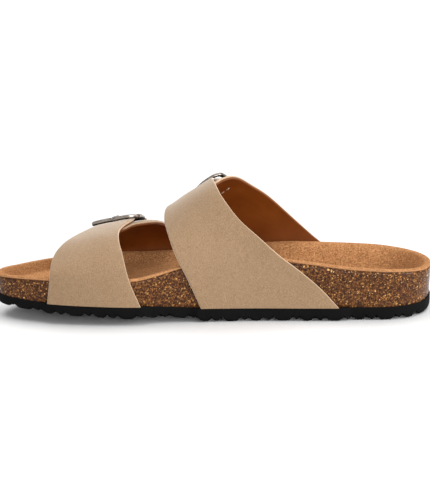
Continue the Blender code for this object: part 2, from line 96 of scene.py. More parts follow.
# Footbed
LINING_THICK = 1.2
RIM_ROUND = 0.7
RIM_CREST = 1.0
RIM_INNER = 2.4
RIM_DIP = 0.1
CORK_BELOW_RIM = RIM_ROUND + LINING_THICK + GAP
SUEDE_THICK = 0.7
LOOP_STATIONS = 150
CORK_ROWS = 12
CORK_RING_STEP = 4
RIM_DISTANCES = (0.0, 0.05, 0.15, 0.3, 0.5, 0.75, 1.0, 1.4, 1.9, 2.4)
WALL_RINGS = 22
FLOOR_RINGS = 14

# Straps
STRAP_THICK = 2.4
LINING_SHARE = 0.5
STRAP_CLEAR = 0.45
RIM_CLEAR = 1.0
MEDIAL_ROUND = 2.3
SECTION_STEPS = 160
STATION_RANGE = (40.0, 240.0)
STATION_STEP = 0.5
GIRTH_STEPS = 240
NEAR_GIRTH = 0.01
EDGE_ROUND = 0.8
CREASE_FADE = 5.0
LINING_ROUND = 0.4
LINING_INSET = 0.25
INSET_SHARE_MOST = 0.2
EDGE_SHARES = (0.0, 0.002, 0.005, 0.009, 0.015, 0.025, 0.04)
STRAP_COLUMNS = 44
FLANK_ROWS = 90
TONGUE_ROWS = 70
LATERAL_ROWS = 110
TIP_ROWS = 22
TONGUE_START = -30.0
LATERAL_ROUND_END = 0.05
TIP_POWER = 0.8
TIP_FLAT = 0.3
RAW_EDGE = 0.45
RAW_EDGE_FADE = 0.35

# Buckles
RING_ACROSS = 27.0
RING_ALONG = 19.0
RING_CORNER = 4.0
BAR_WIDE = 2.8
BAR_THICK = 1.6
BAR_POWER = 4.5
TONGUE_REST = 2.7
TONGUE_HUMP = 4.65
TAIL_THICK = 1.7
RING_GAP = 0.4
BAR_REST = 0.1
RING_NOTCH_WIDE = 0.95
RING_NOTCH_DEEP = 0.6
RING_SIDES = 24
CORNER_STEPS = 12
SIDE_POINTS = 40
PRONG_THICK = 1.4
PRONG_TIP_THICK = 0.9
PRONG_SIDES = 14
PRONG_POWER = 2.4
PRONG_END = 0.35
PRONG_END_LEAST = 0.02
PRONG_FLAT = (3.0, 6.0)
PRONG_POINTS = 60
HOLE_LONG = 4.6
HOLE_WIDE = 2.6
HOLE_PLACE = 5.6
HOLE_BOTTOM = 0.96
HOLE_TOP = 14.0
HOLE_SIDES = 24
HOLE_SHARP = 50.0
SPARE_HOLES = (13.0, 18.5)
SPARE_HOLE_WIDE = 2.4
TAIL_LENGTH = 26.0
TAIL_ROUND = 9.0

# Sideways place of the rim between the arcs of the heel and the toe
OUTLINE = (
    ("station", "medial", "lateral"),
    (35, -34.5, 34.5),
    (70, -34.5, 36.5),
    (100, -34.3, 39.5),
    (130, -36.0, 43.5),
    (160, -41.0, 47.0),
    (190, -45.0, 47.5),
)
# Height of the tread over the floor, along the middle and along both edges
TREAD = (
    ("station", "middle", "medial", "lateral"),
    (0, 1.0, 1.0, 1.0),
    (4, 0.3, 0.3, 0.3),
    (9, 0.0, 0.0, 0.0),
    (134, 0.0, 0.0, 0.0),
    (148, 0.0, 2.0, 0.0),
    (160, 0.0, 3.2, 0.2),
    (175, 1.0, 3.6, 1.4),
    (190, 2.5, 3.9, 2.8),
    (200, 3.5, 4.7, 3.8),
    (230, 5.6, 6.0, 5.8),
    (262, 7.6, 7.6, 7.6),
)
# Height of the seam between the outsole and the footbed
SEAM = (
    ("station", "height"),
    (0, 9.0),
    (4, 8.3),
    (9, 8.0),
    (70, 7.9),
    (140, 8.4),
    (150, 9.2),
    (175, 11.0),
    (200, 11.8),
    (230, 12.6),
    (262, 13.8),
)
# Height of the rim
RIM = (
    ("station", "medial", "lateral"),
    (0, 28.5, 28.5),
    (19, 30.3, 29.2),
    (35, 31.3, 30.3),
    (49, 32.2, 30.9),
    (80, 36.2, 31.3),
    (98, 37.8, 30.2),
    (130, 37.8, 26.5),
    (152, 34.3, 23.6),
    (165, 30.6, 22.8),
    (178, 27.8, 22.1),
    (200, 27.0, 22.2),
    (235, 27.6, 23.6),
    (252, 27.0, 24.6),
    (262, 26.0, 26.0),
)
# Distance from the rim in to where the footbed's floor starts
INNER_WALL = (
    ("station", "medial", "lateral"),
    (0, 20, 20),
    (60, 25, 20),
    (110, 31, 18),
    (150, 24, 14),
    (180, 13, 11),
    (220, 10, 10),
    (262, 10, 10),
)
# Height of the footbed's floor
BED = (
    ("station", "height"),
    (0, 16.0),
    (35, 15.5),
    (60, 17.0),
    (95, 20.5),
    (125, 21.5),
    (150, 19.5),
    (175, 17.0),
    (192, 16.5),
    (214, 17.7),
    (225, 17.7),
    (240, 18.6),
    (262, 19.5),
)
# Painted shade on the suede of the footbed, on its inner wall and on its floor, by station
BED_SHADE = (
    ("station", "wall", "floor"),
    (0, 0.75, 0.25),
    (12, 0.6, 0.25),
    (30, 0.3, 0.22),
    (90, 0.2, 0.2),
    (125, 0.0, 0.0),
    (190, 0.0, 0.0),
    (215, 0.6, 0.12),
    (250, 0.5, 0.12),
    (262, 0.2, 0.15),
)
# Shares down the inner wall over which the painted shade fades in below the rim and fades out at the wall's
# foot
WALL_SHADE_TOP = 0.15
WALL_SHADE_FOOT = 0.7
# Ridge of the last under each strap, with the roundness of its lateral half
FRONT_RIDGE = (
    ("station", "height", "side", "lateral_round"),
    (145, 42.0, -5, 2.1),
    (158, 46.4, -6, 2.1),
    (168, 49.2, -7, 2.1),
    (178, 50.1, -7, 1.8),
    (193, 48.0, -8, 1.45),
    (207, 44.4, -8, 1.5),
    (219, 40.9, -8, 1.5),
    (234, 35.8, -8, 1.5),
)
REAR_RIDGE = (
    ("station", "height", "side", "lateral_round"),
    (45, 87.0, -4, 1.95),
    (80, 85.5, -5, 1.95),
    (98, 84.0, -5, 1.95),
    (111, 82.0, -5, 1.9),
    (120, 79.8, -5, 1.85),
    (132, 74.7, -5, 1.75),
    (140, 69.7, -5, 1.55),
    (146, 66.0, -5, 1.5),
    (155, 59.7, -6, 1.5),
    (164, 55.0, -6, 1.5),
)
# Stations of the edges of the straps
FRONT_MEDIAL = (
    ("girth", "toe_edge", "heel_edge"),
    (-1.0, 230.0, 175.2),
    (-0.78, 228.7, 181.1),
    (-0.66, 228.0, 183.4),
    (-0.52, 227.0, 185.6),
    (-0.4, 225.0, 187.2),
    (-0.3, 221.8, 187.6),
    (-0.21, 218.4, 187.0),
    (-0.13, 214.8, 185.2),
    (0.0, 206.8, 181.2),
    (0.06, 203.4, 179.8),
    (0.11, 202.6, 179.6),
    (0.22, 200.2, 177.4),
    (0.6, 192.4, 169.6),
)
FRONT_LATERAL = (
    ("girth", "toe_edge", "heel_edge"),
    (-0.1, 206.0, 186.0),
    (0.03, 207.5, 180.7),
    (0.12, 208.5, 174.4),
    (0.2, 209.0, 170.0),
    (0.3, 209.5, 166.0),
    (0.4, 210.5, 162.6),
    (0.6, 213.0, 157.5),
    (0.8, 215.5, 153.8),
    (1.0, 218.0, 150.0),
)
REAR_MEDIAL = (
    ("girth", "toe_edge", "heel_edge"),
    (-1.0, 139.7, 57.2),
    (-0.87, 144.2, 68.3),
    (-0.75, 148.4, 80.9),
    (-0.65, 151.8, 92.7),
    (-0.53, 155.6, 104.6),
    (-0.41, 158.0, 116.3),
    (-0.32, 159.3, 122.3),
    (-0.21, 160.1, 127.0),
    (-0.08, 159.4, 129.3),
    (0.03, 157.6, 130.2),
    (0.13, 152.3, 129.8),
    (0.3, 144.4, 123.6),
    (0.5, 134.6, 113.8),
)
REAR_LATERAL = (
    ("girth", "toe_edge", "heel_edge"),
    (-0.02, 157.0, 130.2),
    (0.06, 156.0, 126.5),
    (0.15, 154.5, 120.0),
    (0.24, 152.0, 115.2),
    (0.34, 148.8, 109.2),
    (0.47, 144.2, 97.3),
    (0.6, 139.5, 84.8),
    (0.72, 134.5, 71.7),
    (0.79, 132.0, 63.5),
    (1.0, 125.0, 50.0),
)
# Height of the tongue's inner face over the last, by distance from the middle of its buckle
TONGUE_LIFT = (
    ("along", "lift"),
    (-70.0, 0.0),
    (-37.0, TONGUE_REST),
    (-8.5, TONGUE_REST),
    (7.5, TONGUE_HUMP),
    (11.5, TONGUE_HUMP),
    (18.0, TONGUE_REST),
    (40.0, TONGUE_REST),
)
# Thickness of the tongue, thinned towards its tail, by distance from the middle of its buckle
TONGUE_THICK = (
    ("along", "thick"),
    (-7.0, STRAP_THICK),
    (5.0, TAIL_THICK),
    (40.0, TAIL_THICK),
)
# Middle line of the prong: distance from the middle of the buckle and height over the last
PRONG_PATH = (
    ("place", "along", "height"),
    (0, 6.9, 3.5),
    (1, 6.6, 4.8),
    (2, 5.4, 6.8),
    (3, 3.4, 7.6),
    (4, 0.0, 7.4),
    (5, -5.0, 7.2),
    (6, -8.4, 7.05),
    (7, -10.4, 7.0),
)
# Buckles: name, girth and station, slant, lift of the medial bar, and the tables of the straps
BUCKLES = (
    ("front", 0.214, 188.9, 14.0, 0.6, FRONT_RIDGE, FRONT_MEDIAL, FRONT_LATERAL),
    ("rear", 0.308, 133.6, 25.0, 0.0, REAR_RIDGE, REAR_MEDIAL, REAR_LATERAL),
)
# Stretches of the outsole that stand out under the straps
FLARES = (
    ("medial", 56.0, 140.0),
    ("medial", 175.0, 230.0),
    ("lateral", 50.0, 125.0),
    ("lateral", 150.0, 218.0),
)
FLARE = 2.5
FLARE_RAMP = 7.0
# Soft troughs and ridges of the straps: middle, direction from the strap's length, reach and height
CREASES = (
    ("strap", "station", "girth", "turn", "long", "wide", "high"),
    ("front_medial", 205.0, -0.28, 70, 15.0, 6.0, -0.22),
    ("front_medial", 196.0, -0.16, 60, 12.0, 5.0, -0.18),
    ("front_medial", 214.0, -0.6, 85, 20.0, 8.0, 0.2),
    ("front_lateral", 185.0, 0.55, 80, 18.0, 7.0, -0.25),
    ("rear_medial", 143.0, -0.2, 65, 17.0, 6.0, -0.22),
    ("rear_medial", 136.0, -0.42, 75, 20.0, 8.0, -0.2),
    ("rear_medial", 112.0, -0.66, 40, 24.0, 9.0, 0.22),
    ("rear_lateral", 118.0, 0.6, 60, 22.0, 8.0, -0.25),
)
# Ends of the thread that holds the rear buckle, seen on the lining: station and girth of each end
THREAD_ENDS = (
    ((127.2, 0.353), (125.3, 0.336)),
    ((124.2, 0.329), (122.1, 0.31)),
)
THREAD_THICK = 0.9
THREAD_FLAT = 0.7
THREAD_SUNK = -0.12
THREAD_DIP = 0.35
THREAD_END_LEAST = 0.03
THREAD_POINTS = 14
THREAD_SIDES = 10

# Cork: places per metre of its granules and crumbs, how far they are pulled out of shape, and the browns
# that they take, each from a share up
CORK_GRAIN = 1000.0
CORK_CRUMB = 1500.0
CORK_WARP = 0.0012
GRAIN_BROWNS = (
    (0.0, (52, 26, 9)),
    (0.32, (80, 45, 18)),
    (0.58, (112, 69, 32)),
    (0.78, (158, 107, 54)),
    (0.92, (208, 156, 92)),
)
CRUMB_BROWNS = (
    (0.0, (43, 21, 7)),
    (0.38, (80, 45, 18)),
    (0.66, (128, 82, 39)),
    (0.86, (214, 164, 100)),
)

# Stage, in metres: floor, light all round, and area lights with place, turn, width, depth and watts
FLOOR_HALF = 6.0
FLOOR_DROP = 0.0002
FLOOR_GREY = 0.68
LIGHT_ROUND = 0.45
LIGHTS = (
    ("overhead", (0.0, 0.75, 2.2), (0.0, 0.0, 0.0), 3.0, 3.0, 83.0),
    ("front_fill", (0.35, -1.9, 0.42), (79.0, 0.0, 10.0), 1.6, 0.8, 25.0),
    ("heel_fill", (1.5, -0.5, 0.6), (70.0, 0.0, 71.0), 0.9, 0.7, 18.0),
)
# Camera: the photo's angle, 14 degrees above the floor on the medial side
VIEW_DISTANCE = 1.4
VIEW_ELEVATION = 14.0
VIEW_HEIGHT = 0.2999
VIEW_TARGET = (0.0, SIDE_SHIFT * MM, 0.0365)
SENSOR = 36.0


def srgb(red, green, blue):
    """An 8-bit colour as a linear one."""
    share = np.array([red, green, blue]) / 255
    linear = np.where(share < 0.04045, share / 12.92, ((share + 0.055) / 1.055) ** 2.4)
    return (*(float(c) for c in linear), 1.0)


def column(table, name):
    """One named column of a table."""
    return np.array([row[table[0].index(name)] for row in table[1:]], float)


def value(table, name, at, flat=True):
    """A named column at a place along the first one, as a curve that never overshoots its rows."""
    places = column(table, table[0][0])
    heights = column(table, name)
    step = np.diff(places)
    rise = np.diff(heights) / step
    slope = np.zeros(len(places))
    for k in range(1, len(rise)):
        if rise[k - 1] * rise[k] > 0:
            first = 2 * step[k] + step[k - 1]
            second = step[k] + 2 * step[k - 1]
            slope[k] = (first + second) / (first / rise[k - 1] + second / rise[k])
    if not flat:
        slope[0] = rise[0]
        slope[-1] = rise[-1]
    at = np.clip(np.asarray(at, float), places[0], places[-1])
    k = np.clip(np.searchsorted(places, at) - 1, 0, len(step) - 1)
    t = (at - places[k]) / step[k]
    return (
        heights[k] * (1 + 2 * t) * (1 - t) ** 2
        + heights[k + 1] * t * t * (3 - 2 * t)
        + step[k] * (slope[k] * t * (1 - t) ** 2 - slope[k + 1] * t * t * (1 - t))
    )


def ease(t):
    """Smooth step from 0 to 1."""
    t = np.clip(t, 0.0, 1.0)
    return t * t * (3 - 2 * t)


def arc(u, power):
    """Height of a unit superellipse at u from its middle."""
    return (1 - np.clip(u, 0, 1) ** power) ** (1 / power)


def steps(count):
    """Shares of a whole, one for each of its steps."""
    return np.arange(1, count + 1) / count


def unit(vectors):
    """Vectors of length one."""
    return vectors / np.linalg.norm(vectors, axis=-1, keepdims=True)


def rounding(distance, radius):
    """How far a rounded edge lies below its face, by distance from the edge."""
    left = radius - np.clip(distance, 0.0, radius)
    return radius - np.sqrt(radius ** 2 - left ** 2)


def edge(side, station):
    """Sideways place of the footbed's rim at a station."""
    s = np.asarray(station, float)
    middle = value(OUTLINE, side, np.clip(s, HEEL_ARC, TOE_ARC_START))
    heel = SIGN[side] * HEEL_HALF * arc((HEEL_ARC - s) / HEEL_ARC, HEEL_POWER)
    power = TOE_MEDIAL_POWER if side == "medial" else TOE_LATERAL_POWER
    toe_arc = arc((s - TOE_ARC_START) / (LENGTH - TOE_ARC_START), power)
    widest = value(OUTLINE, side, TOE_ARC_START)
    toe = TOE_TIP_SIDE + (widest - TOE_TIP_SIDE) * toe_arc
    return np.where(s < HEEL_ARC, heel, np.where(s > TOE_ARC_START, toe, middle))


def seam(station):
    """Height of the outsole's top face."""
    return value(SEAM, "height", station)


def flare(side, station):
    """How far the outsole stands out under the straps."""
    out = np.zeros_like(np.asarray(station, float))
    for flared, low, high in FLARES:
        if flared == side:
            rise = ease((station - low) / FLARE_RAMP + 1)
            fall = ease((high - station) / FLARE_RAMP + 1)
            out = np.maximum(out, FLARE * rise * fall)
    return out


def placed(points):
    """Stations, sides and heights to scene metres."""
    points = np.asarray(points, float).reshape(-1, 3)
    shifted = np.stack([LENGTH / 2 - points[:, 0], points[:, 1] + SIDE_SHIFT, points[:, 2]], axis=1)
    return shifted * MM


def quads(rows, columns, closed=False, start=0):
    """Faces of a grid of points laid row by row."""
    r, c = np.meshgrid(np.arange(rows - 1), np.arange(columns if closed else columns - 1), indexing="ij")
    n = (c + 1) % columns
    here = r * columns
    after = here + columns
    corners = np.stack([here + c, here + n, after + n, after + c], axis=-1)
    return (corners.reshape(-1, 4) + start).tolist()


def border(rows, columns):
    """Point numbers around a grid, once round."""
    first = list(range(columns))
    right = [r * columns + columns - 1 for r in range(1, rows - 1)]
    last = list(range(rows * columns - 1, (rows - 1) * columns - 1, -1))
    left = [r * columns for r in range(rows - 2, 0, -1)]
    return first + right + last + left


def add_piece(name, points, faces, material, slot, replaced=None, **marks):
    """A smooth mesh piece of the sandal that rides on its one body, with named values at its points."""
    mesh = bpy.data.meshes.new(name)
    mesh.from_pydata(placed(points).tolist(), [], faces)
    mesh.validate()
    mesh.shade_smooth()
    for mark, values in marks.items():
        layer = mesh.attributes.new(mark, "FLOAT", "POINT")
        layer.data.foreach_set("value", np.asarray(values, np.float32).ravel())
    mesh.materials.append(bpy.data.materials[material])
    piece = bpy.data.objects.new(name, mesh)
    bpy.context.scene.collection.objects.link(piece)
    face_out(piece)
    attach(piece, "root")
    if replaced:
        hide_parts(replaced)
    return piece


def face_out(piece):
    """Turns the faces of a closed piece outward, told by the sign of its volume."""
    mesh = piece.data
    mesh.calc_loop_triangles()
    points = np.zeros(len(mesh.vertices) * 3)
    mesh.vertices.foreach_get("co", points)
    points = points.reshape(-1, 3)
    corners = np.zeros(len(mesh.loop_triangles) * 3, int)
    mesh.loop_triangles.foreach_get("vertices", corners)
    a, b, c = (points[corners.reshape(-1, 3)[:, k]] for k in range(3))
    if np.sum(a * np.cross(b, c)) < 0:
        mesh.flip_normals()


class Last:
    """Skin of the last under one strap, sampled once and read by station and girth."""

    def __init__(self, ridge):
        self.stations = np.arange(*STATION_RANGE, STATION_STEP)
        self.girths = np.linspace(-1, 1, 2 * GIRTH_STEPS + 1)
        self.points = np.zeros((len(self.stations), len(self.girths), 3))
        for row, station in enumerate(self.stations):
            self.points[row] = self.section(ridge, station)
        along = np.gradient(self.points, self.girths, axis=1)
        across = np.gradient(self.points, self.stations, axis=0)
        self.normals = unit(np.cross(across, along))

    def section(self, ridge, station):
        """Points of one cross section, from the medial edge of the sole to the lateral one."""
        top = float(value(ridge, "height", station, flat=False))
        crown = float(value(ridge, "side", station))
        lateral_round = float(value(ridge, "lateral_round", station))
        turn = np.linspace(0, math.pi / 2, SECTION_STEPS)
        points = np.zeros((len(self.girths), 3))
        points[:, 0] = station
        for side, power in (("medial", MEDIAL_ROUND), ("lateral", lateral_round)):
            sign = SIGN[side]
            chosen = self.girths < 0 if side == "medial" else self.girths >= 0
            wall = float(edge(side, station)) + sign * STRAP_CLEAR
            rim = float(value(RIM, side, station))
            start = rim + RIM_CLEAR
            y = crown + (wall - crown) * np.cos(turn) ** (2 / power)
            z = start + (top - start) * np.sin(turn) ** (2 / power)
            y = np.concatenate([[wall - sign * SEAM_INSET, wall], y])
            z = np.concatenate([[float(seam(station)) + SEAM_FIT, rim - CORK_BELOW_RIM], z])
            run = np.concatenate([[0], np.cumsum(np.hypot(np.diff(y), np.diff(z)))])
            at = (1 - np.abs(self.girths[chosen])) * run[-1]
            points[chosen, 1] = np.interp(at, run, y)
            points[chosen, 2] = np.interp(at, run, z)
        return points

    def skin(self, station, girth, height):
        """Points at heights over the last's skin."""
        row = np.clip((station - STATION_RANGE[0]) / STATION_STEP, 0, len(self.stations) - 1.001)
        col = np.clip((girth + 1) * GIRTH_STEPS, 0, len(self.girths) - 1.001)
        r, c = row.astype(int), col.astype(int)
        dr, dc = (row - r)[..., None], (col - c)[..., None]
        found = []
        for grid in (self.points, self.normals):
            low = grid[r, c] * (1 - dc) + grid[r, c + 1] * dc
            high = grid[r + 1, c] * (1 - dc) + grid[r + 1, c + 1] * dc
            found.append(low * (1 - dr) + high * dr)
        return found[0] + found[1] * np.asarray(height)[..., None]

    def girth_length(self, station, girth):
        """Millimetres to one whole girth, near a point of the skin."""
        girths = np.array([girth - NEAR_GIRTH, girth + NEAR_GIRTH])
        near = self.skin(np.full(2, station), girths, np.zeros(2))
        return np.linalg.norm(near[1] - near[0]) / (2 * NEAR_GIRTH)


class Seat:
    """Place of a buckle on the last, with millimetre steps along and across the strap."""

    def __init__(self, name, girth, station, slant, lift, last):
        self.name = name
        self.lift = lift
        self.girth = girth
        self.station = station
        self.cos = math.cos(math.radians(slant))
        self.sin = math.sin(math.radians(slant))
        self.last = last
        self.per_along = last.girth_length(station, girth)
        near = last.skin(np.array([station - 1, station + 1]), np.full(2, girth), np.zeros(2))
        self.per_across = np.linalg.norm(near[1] - near[0]) / 2.0

    def girth_at(self, along):
        """Girth at a distance along the last from the middle of the buckle."""
        return self.girth + along / self.per_along

    def point(self, along, across, height):
        """Points by distance along and across the strap and by height over the last."""
        along, across, height = np.broadcast_arrays(along, across, height)
        station = self.station + (across * self.cos - along * self.sin) / self.per_across
        girth = self.girth_at(along * self.cos + across * self.sin)
        return self.last.skin(station, girth, height)

    def along(self, station, girth):
        """Distance along the strap from the middle of the buckle."""
        run = (girth - self.girth) * self.per_along
        across = (station - self.station) * self.per_across
        return run * self.cos - across * self.sin

    def raised(self, station, girth):
        """Height of the tongue's inner face over the last."""
        return value(TONGUE_LIFT, "lift", self.along(station, girth))

    def thick(self, station, girth):
        """Thickness of the tongue."""
        return value(TONGUE_THICK, "thick", self.along(station, girth))

    def ring_height(self, along):
        """Height of the ring's middle line over the last, highest on the medial bar."""
        high = TONGUE_REST + STRAP_THICK + RING_GAP + self.lift + BAR_THICK / 2
        low = STRAP_THICK + GAP + BAR_THICK / 2
        return high + (low - high) * (along / RING_ALONG + 0.5)


def rim_loop():
    """Sides, stations and outline of the rim, once round, with a spine point for each."""
    turn = np.arange(LOOP_STATIONS + 1) * math.pi / LOOP_STATIONS
    stations = LENGTH * (1 - np.cos(turn)) / 2
    medial = np.concatenate([np.ones(len(stations), bool), np.zeros(len(stations) - 2, bool)])
    around = np.concatenate([stations, stations[-2:0:-1]])
    side = np.where(medial, edge("medial", around), edge("lateral", around))
    outline = np.stack([around, side], axis=1)
    held = np.clip(around, SPINE_HEEL, SPINE_TOE)
    spine = np.stack([held, (edge("medial", held) + edge("lateral", held)) / 2], axis=1)
    return medial, outline, spine


def by_side(table, medial, stations):
    """Values of a table with a medial and a lateral column, around the rim."""
    return np.where(medial, value(table, "medial", stations), value(table, "lateral", stations))


def bed_rings():
    """Rings of the lining's top face from the rim inward to the spine, with each ring's distance in."""
    medial, outline, spine = rim_loop()
    reach = np.linalg.norm(spine - outline, axis=1)
    inward = (spine - outline) / reach[:, None]
    rim = by_side(RIM, medial, outline[:, 0])
    wall = by_side(INNER_WALL, medial, outline[:, 0])
    bed = value(BED, "height", outline[:, 0])
    middle = value(BED, "height", spine[:, 0])
    rings = []
    for distance in RIM_DISTANCES:
        drop = RIM_ROUND / RIM_CREST * rounding(distance, RIM_CREST)
        drop += RIM_DIP * ease((distance - RIM_CREST) / (RIM_INNER - RIM_CREST))
        rings.append(np.column_stack([outline + inward * distance, rim - drop]))
    for share in steps(WALL_RINGS):
        distance = RIM_INNER + (wall - RIM_INNER) * share
        floor = bed + (middle - bed) * distance / reach
        height = floor + (rim - RIM_DIP - floor) * (1 - ease(share))
        rings.append(np.column_stack([outline + inward * distance[:, None], height]))
    for share in steps(FLOOR_RINGS):
        distance = wall + (reach - wall) * share
        floor = bed + (middle - bed) * distance / reach
        rings.append(np.column_stack([outline + inward * distance[:, None], floor]))
    return np.array(rings)


def build_footbed_lining():
    """Suede cover of the footbed, with its cut edge round the rim and painted shade on its inner wall and
    floor in places.
    """
    rings = bed_rings()
    under = rings - (0, 0, SUEDE_THICK)
    rows, columns = rings.shape[:2]
    points = np.concatenate([rings[::-1].reshape(-1, 3), under.reshape(-1, 3)])
    faces = quads(2 * rows, columns, closed=True)
    cut = np.zeros((2 * rows, columns))
    cut[rows - 1:rows + 1] = 1.0
    share = np.concatenate([np.zeros(len(RIM_DISTANCES)), steps(WALL_RINGS), np.ones(FLOOR_RINGS)])
    # How much painted shade each ring takes: the wall's amount down the inner wall, the floor's amount on
    # the floor
    wall = ease(share / WALL_SHADE_TOP) * (1 - ease((share - WALL_SHADE_FOOT) / (1 - WALL_SHADE_FOOT)))
    floor = value(BED_SHADE, "floor", rings[:, :, 0])
    laid = floor + wall[:, None] * (value(BED_SHADE, "wall", rings[:, :, 0]) - floor)
    laid = np.concatenate([laid[::-1], laid])
    return add_piece("suede_cover", points, faces, "tan_suede", "suede", "footbed_lining",
                     edge=cut, laid=laid)


def build_cork():
    """Cork footbed: wall, hollowed top under the suede and flat underside."""
    medial, outline, spine = rim_loop()
    inward = (spine - outline) / np.linalg.norm(spine - outline, axis=1)[:, None]
    rings = bed_rings()[len(RIM_DISTANCES) - 1::CORK_RING_STEP] - (0, 0, LINING_THICK + GAP)
    crest = by_side(RIM, medial, outline[:, 0]) - RIM_ROUND - SUEDE_THICK - SEAM_FIT
    base = seam(outline[:, 0]) + SEAM_FIT
    wall = []
    for share in np.linspace(0, 1, CORK_ROWS):
        inset = SEAM_INSET * ease(share) if share < 1 else SEAM_INSET
        wall.append(np.column_stack([outline + inward * inset, crest + (base - crest) * share]))
    under = np.column_stack([spine, seam(spine[:, 0]) + SEAM_FIT])
    loops = np.concatenate([rings[::-1], np.array(wall), under[None]])
    faces = quads(len(loops), loops.shape[1], closed=True)
    return add_piece("cork_bed", loops.reshape(-1, 3), faces, "sealed_cork", "cork", "cork_footbed")


def tread_relief(stations):
    """Depth of the groove at each station, with how far the station lies from the middle of its rib."""
    depth = np.zeros_like(stations)
    starts = []
    place = FIRST_GROOVE
    wide = False
    while place < LENGTH - RIB_WIDE:
        starts.append(place)
        t = (stations - place) / GROOVE
        inside = (t > 0) & (t < 1)
        profile = np.minimum(ease(t / GROOVE_WALL), ease((1 - t) / GROOVE_WALL))
        depth = np.where(inside, GROOVE_DEPTH * profile, depth)
        place += GROOVE + (RIB_WIDE if wide else RIB_NARROW)
        wide = not wide
    low = np.array([0.0] + [s + GROOVE / 2 for s in starts])
    high = np.array([s + GROOVE / 2 for s in starts] + [LENGTH])
    rib = np.clip(np.searchsorted(low, stations) - 1, 0, len(low) - 1)
    off = np.abs(stations - (low[rib] + high[rib]) / 2) / ((high[rib] - low[rib]) / 2)
    return depth, np.clip(off, 0, 1)


def medial_lobes(stations):
    """How far the medial edge of the tread rises towards the notches between its uneven lobes."""
    widths = np.resize(MEDIAL_LOBE_WIDTHS, MEDIAL_LOBES)
    notches = FIRST_NOTCH + np.concatenate([[0.0], np.cumsum(widths)])
    away = np.min(np.abs(stations[:, None] - notches[None, :]), axis=1)
    return NOTCH_DEPTH * np.clip(1 - away / NOTCH_REACH, 0, 1) ** 2


def build_outsole():
    """Foam outsole with wavy cross ribs that end in rounded lobes, flared under the straps."""
    turn = np.linspace(0, 1, OUTSOLE_STATIONS)
    stations = END_TRIM + (LENGTH - 2 * END_TRIM) * (turn - np.sin(2 * math.pi * turn) * STATION_CROWD)
    s = stations[:, None]
    low = edge("medial", s)
    high = edge("lateral", s)
    inset = np.minimum(SEAM_INSET, (high - low) / 4)
    low = low + inset - flare("medial", s)
    high = high + flare("lateral", s) - inset
    middle = (low + high) / 2
    draft = np.maximum(DRAFT_LEAST, 1 - 2 * OUTSOLE_DRAFT / (high - low))
    base = OUTSOLE_DRAFT + s * (LENGTH - 2 * OUTSOLE_DRAFT) / LENGTH
    fade = ease(np.minimum(s, LENGTH - s) / ZIGZAG_FADE - ZIGZAG_START)
    depth, off = tread_relief(stations)
    share = np.linspace(0, 1, TREAD_COLUMNS + 1)[None, :]
    ground = {name: value(TREAD, name, s) for name in ("middle", "medial", "lateral")}
    reach = np.maximum(0.0, np.abs(2 * share - 1) - FLAT_SHARE) / (1 - FLAT_SHARE)
    edge_height = np.where(share < 0.5, ground["medial"], ground["lateral"])
    height = ground["middle"] + (edge_height - ground["middle"]) * reach ** 2
    out = np.abs(2 * share - 1)
    lobed = ease((out - LOBE_START) / (1 - LOBE_START))
    lateral = np.maximum(depth[:, None], LOBE * off[:, None] ** LOBE_POWER * lobed)
    notched = ease((out - NOTCH_START) / (1 - NOTCH_START))
    medial = depth[:, None] * (1 - notched) + medial_lobes(stations)[:, None] * notched
    relief = np.where(share < 0.5, medial, lateral)
    shift = -ZIGZAG * fade * np.cos(2 * math.pi * ZIGZAG_WAVES * share)
    across = middle + (low + (high - low) * share - middle) * draft
    bottom = np.stack(np.broadcast_arrays(base + shift, across, height + relief), axis=-1)
    walls = {}
    for name, wall, at in (("lateral", high, -1), ("medial", low, 0)):
        foot = bottom[:, at]
        step = (ground[name] + GROOVE_DEPTH + SIDE_STEP)[:, 0]
        ring = []
        for k in range(1, WALL_POINTS + 1):
            angle = math.pi / 2 * k / WALL_POINTS
            outward = math.sin(angle)
            upward = 1 - math.cos(angle)
            x = foot[:, 0] + (stations - foot[:, 0]) * outward
            y = foot[:, 1] + (wall[:, 0] - foot[:, 1]) * outward
            ring.append(np.stack([x, y, foot[:, 2] + (step - foot[:, 2]) * upward], axis=-1))
        top = seam(stations)
        for rise in WALL_RISES:
            tuck = SEAM_TUCK * (rise == 1.0) * np.sign(wall[:, 0] - middle[:, 0])
            ring.append(np.stack([stations, wall[:, 0] - tuck, step + (top - step) * rise], axis=-1))
        walls[name] = np.stack(ring, axis=1)
    loops = np.concatenate([bottom, walls["lateral"], walls["medial"][:, ::-1]], axis=1)
    rows, columns = loops.shape[:2]
    faces = quads(rows, columns, closed=True)
    faces.append(list(range(columns))[::-1])
    faces.append(list(range((rows - 1) * columns, rows * columns)))
    return add_piece("foam_outsole", loops.reshape(-1, 3), faces, "black_foam", "foam", "outsole")


def strap_rows(table, girths, tip):
    """Girths and edge stations of a strap from its sole end to its rounded free end."""
    turns = steps(TIP_ROWS) * math.pi / 2
    spread = np.maximum(TIP_FLAT, np.cos(turns) ** TIP_POWER)
    spread = np.concatenate([np.ones(len(girths)), spread])
    girths = np.concatenate([girths, girths[-1] + tip * np.sin(turns)])
    toe = value(table, "toe_edge", girths, flat=False)
    heel = value(table, "heel_edge", girths, flat=False)
    half = (toe - heel) / 2 * spread
    middle = (toe + heel) / 2
    return girths, middle + half, middle - half


def strap_shares():
    """Places across a strap, closer together at both edges."""
    inner = np.linspace(EDGE_SHARES[-1], 1 - EDGE_SHARES[-1], STRAP_COLUMNS)
    return np.concatenate([EDGE_SHARES[:-1], inner, 1 - np.array(EDGE_SHARES[-2::-1])])


